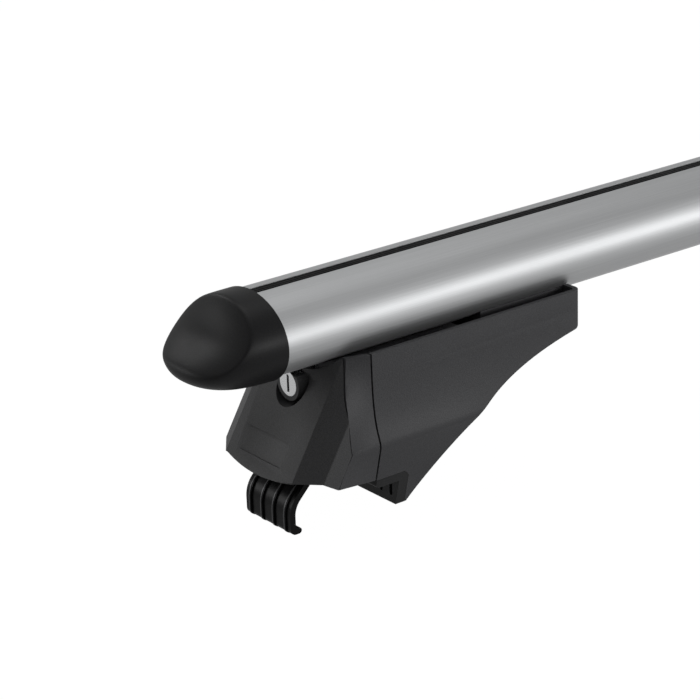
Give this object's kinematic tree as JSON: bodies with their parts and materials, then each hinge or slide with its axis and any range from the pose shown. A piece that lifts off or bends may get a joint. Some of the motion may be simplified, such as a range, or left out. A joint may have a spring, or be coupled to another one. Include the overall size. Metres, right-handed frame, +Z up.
{
  "type": "roof rack crossbar",
  "caption": "Aluminium roof crossbar with lockable clamp feet: covers pull off, locks turn, claws close on the rails by bolt, and the feet slide along the bar.",
  "frame": {"origin": "centre of the crossbar at the height of the claws' lips", "axes": "+X along the bar, +Y across it, +Z up"},
  "size_m": [1.218, 0.0748, 0.1156],
  "materials": {
    "bar_alloy": "satin",
    "strip_rubber": "matte",
    "cap_plastic": "satin",
    "foot_plastic": "fine grain",
    "cover_plastic": "fine grain",
    "pad_rubber": "matte",
    "claw_coating": "satin black",
    "fixing_steel": "zinc plated",
    "lock_metal": "satin nickel"
  },
  "bodies": {
    "bar": {"bar_extrusion": "bar_alloy", "slot_strip": "strip_rubber", "end_cap_left": "cap_plastic", "end_cap_right": "cap_plastic"},
    "foot_left": {"foot_body_left": "foot_plastic", "fin_cover_left": "foot_plastic", "rail_pad_left": "pad_rubber", "claw_nut_left": "fixing_steel", "slot_plate_left": "fixing_steel", "clamp_screw_1_left": "fixing_steel", "clamp_screw_2_left": "fixing_steel", "fin_screw_1_left": "fixing_steel", "fin_screw_2_left": "fixing_steel"},
    "cover_left": {"end_cover_left": "cover_plastic"},
    "lock_left": {"lock_plug_left": "lock_metal", "lock_cam_left": "fixing_steel", "lock_screw_left": "fixing_steel"},
    "claw_left": {"claw_left": "claw_coating"},
    "bolt_left": {"claw_bolt_left": "fixing_steel", "bolt_washer_left": "fixing_steel"},
    "foot_right": {"foot_body_right": "foot_plastic", "fin_cover_right": "foot_plastic", "rail_pad_right": "pad_rubber", "claw_nut_right": "fixing_steel", "slot_plate_right": "fixing_steel", "clamp_screw_1_right": "fixing_steel", "clamp_screw_2_right": "fixing_steel", "fin_screw_1_right": "fixing_steel", "fin_screw_2_right": "fixing_steel"},
    "cover_right": {"end_cover_right": "cover_plastic"},
    "lock_right": {"lock_plug_right": "lock_metal", "lock_cam_right": "fixing_steel", "lock_screw_right": "fixing_steel"},
    "claw_right": {"claw_right": "claw_coating"},
    "bolt_right": {"claw_bolt_right": "fixing_steel", "bolt_washer_right": "fixing_steel"}
  },
  "joints": [
    {"name": "foot_slide_left", "type": "slide", "parent": "bar", "child": "foot_left", "axis": [1, 0, 0], "range_m": [-0.02, 0.12]},
    {"name": "cover_pull_left", "type": "slide", "parent": "foot_left", "child": "cover_left", "axis": [-1, 0, 0], "range_m": [0, 0.05]},
    {"name": "lock_turn_left", "type": "hinge", "parent": "cover_left", "child": "lock_left", "pos_m": [-0.5515, 0, 0.0657], "axis": [1, 0, 0], "range_deg": [0, 90]},
    {"name": "claw_slide_left", "type": "slide", "parent": "foot_left", "child": "claw_left", "axis": [1, 0, 0], "range_m": [0, 0.015]},
    {"name": "bolt_spin_left", "type": "hinge", "parent": "claw_left", "child": "bolt_left", "pos_m": [-0.543, 0, 0.0413], "axis": [1, 0, 0], "range_deg": [0, 4320]},
    {"name": "foot_slide_right", "type": "slide", "parent": "bar", "child": "foot_right", "axis": [-1, 0, 0], "range_m": [-0.02, 0.12]},
    {"name": "cover_pull_right", "type": "slide", "parent": "foot_right", "child": "cover_right", "axis": [1, 0, 0], "range_m": [0, 0.05]},
    {"name": "lock_turn_right", "type": "hinge", "parent": "cover_right", "child": "lock_right", "pos_m": [0.5515, 0, 0.0657], "axis": [-1, 0, 0], "range_deg": [0, 90]},
    {"name": "claw_slide_right", "type": "slide", "parent": "foot_right", "child": "claw_right", "axis": [-1, 0, 0], "range_m": [0, 0.015]},
    {"name": "bolt_spin_right", "type": "hinge", "parent": "claw_right", "child": "bolt_right", "pos_m": [0.543, 0, 0.0413], "axis": [-1, 0, 0], "range_deg": [0, 4320]}
  ],
  "couplings": [
    {"joint": "bolt_spin_left", "follows": "claw_slide_left", "rad_per_m": 5026.5},
    {"joint": "bolt_spin_right", "follows": "claw_slide_right", "rad_per_m": 5026.5}
  ]
}
